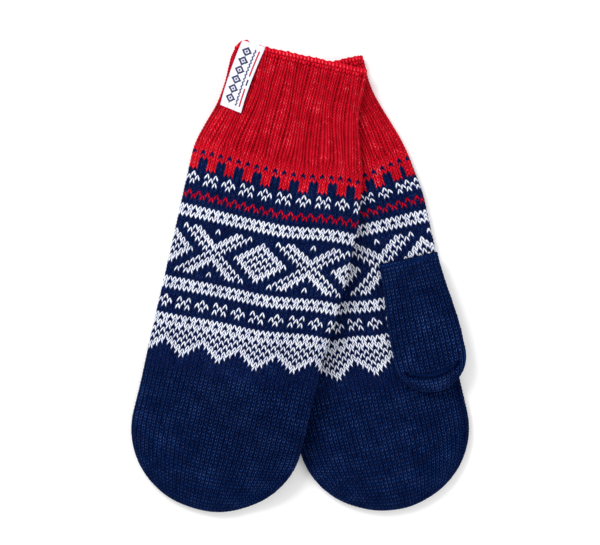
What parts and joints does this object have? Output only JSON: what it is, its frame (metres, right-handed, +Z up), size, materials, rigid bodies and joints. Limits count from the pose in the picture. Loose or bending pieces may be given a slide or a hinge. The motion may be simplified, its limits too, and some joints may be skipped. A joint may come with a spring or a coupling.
{
  "type": "pair of knitted mittens",
  "caption": "Pair of thick knitted wool mittens with ribbed cuffs, a stranded geometric pattern band and plain rounded hands, laid flat one over the other.",
  "frame": {"origin": "middle of the pair's footprint, on the surface that the pair lies on", "axes": "+Z up off the surface, +Y towards the cuffs, fingertips towards -Y, +X towards the lower mitten's thumb"},
  "size_m": [0.1968, 0.2728, 0.0272],
  "materials": {
    "red_rib_wool": "matte knitted wool, 1x1 rib",
    "patterned_wool": "matte stranded knit in navy, white and red wool",
    "navy_wool": "matte plain knitted wool",
    "carried_yarn": "matte wool strands",
    "navy_seam_yarn": "matte linked wool seam",
    "yarn_ends": "matte darned-in wool ends",
    "label_fabric": "smooth woven ribbon",
    "label_thread": "polyester sewing thread"
  },
  "bodies": {
    "left_mitten": {"left_cuff": "red_rib_wool", "left_cuff_edge": "red_rib_wool", "left_pattern_band": "patterned_wool", "left_float_lining": "carried_yarn", "left_hand": "navy_wool", "left_fingertips": "navy_wool", "left_tip_seam": "navy_seam_yarn", "left_yarn_tails": "yarn_ends"},
    "left_thumb": {"left_thumb": "navy_wool", "left_thumb_tip_seam": "navy_seam_yarn", "left_thumb_root_seam": "navy_seam_yarn"},
    "right_mitten": {"right_cuff": "red_rib_wool", "right_cuff_edge": "red_rib_wool", "right_pattern_band": "patterned_wool", "right_float_lining": "carried_yarn", "right_hand": "navy_wool", "right_fingertips": "navy_wool", "right_tip_seam": "navy_seam_yarn", "right_yarn_tails": "yarn_ends", "label": "label_fabric", "label_stitches": "label_thread"},
    "right_thumb": {"right_thumb": "navy_wool", "right_thumb_tip_seam": "navy_seam_yarn", "right_thumb_root_seam": "navy_seam_yarn"}
  },
  "joints": [
    {"name": "right_mitten_lift", "type": "slide", "parent": "left_mitten", "child": "right_mitten", "axis": [0, 0, 1], "range_m": [0, 0.08]},
    {"name": "left_thumb_fold", "type": "hinge", "parent": "left_mitten", "child": "left_thumb", "pos_m": [0.06243, 0.0118, 0.0136], "axis": [-0.9767, -0.2147, 0], "range_deg": [0, 90]},
    {"name": "right_thumb_swing", "type": "hinge", "parent": "right_mitten", "child": "right_thumb", "pos_m": [0.01076, 0.00318, 0.0136], "axis": [0, 0, 1], "range_deg": [0, 34]}
  ]
}
